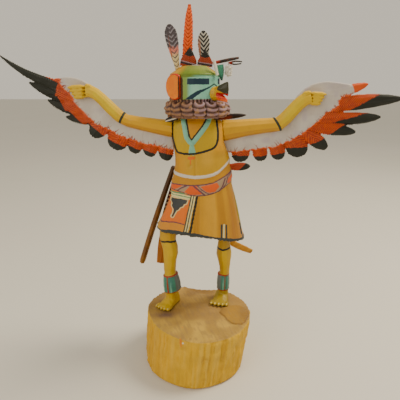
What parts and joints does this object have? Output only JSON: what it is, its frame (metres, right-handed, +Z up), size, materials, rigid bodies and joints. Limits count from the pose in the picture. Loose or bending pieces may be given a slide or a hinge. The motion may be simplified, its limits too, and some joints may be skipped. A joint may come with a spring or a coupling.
{
  "type": "kachina doll",
  "caption": "Carved and painted wooden kachina doll of an eagle dancer with spread wings, masked head, kilt and feather crest, standing on a section of log.",
  "frame": {"origin": "middle of the log's sawn underside, on the surface that it stands on", "axes": "+Z up, the dancer faces -Y, +X is along the spread wings towards the side the mask turns to"},
  "size_m": [0.4278, 0.1249, 0.4007],
  "materials": {
    "bare_log": "bare, dry split wood with rough vertical grain",
    "body_paint": "satin acrylic paint on carved cottonwood, ochre yellow with painted dress",
    "wing_paint": "matt off-white paint with orange-red and black feather ends",
    "ear_paint": "satin orange paint with a red rim",
    "beak_paint": "satin yellow, black and red paint",
    "orange_feather": "satin orange paint on a carved wooden feather",
    "dark_feather": "matt black and grey paint on a carved wooden feather",
    "red_feather": "matt red-brown paint with black ends",
    "white_down": "fluffy white down and quill",
    "green_feather": "soft dyed green feather",
    "tail_feather": "brown painted wood"
  },
  "bodies": {
    "root": {"base": "bare_log", "figure": "body_paint", "wing_left": "wing_paint", "wing_right": "wing_paint", "ear_left": "ear_paint", "ear_right": "ear_paint", "beak": "beak_paint", "crest_tall": "orange_feather", "crest_dark_left": "dark_feather", "crest_dark_right": "dark_feather", "crest_short_left": "red_feather", "crest_short_right": "red_feather", "quill_white": "white_down", "green_tuft": "green_feather", "down_tuft": "white_down", "feather_side": "dark_feather", "twig_fork": "dark_feather", "nape_feather_right": "dark_feather", "nape_feather_left": "dark_feather", "waist_feather": "red_feather", "tail_long": "tail_feather", "tail_inner": "red_feather", "tail_left": "tail_feather", "tail_right": "tail_feather"}
  },
  "joints": []
}
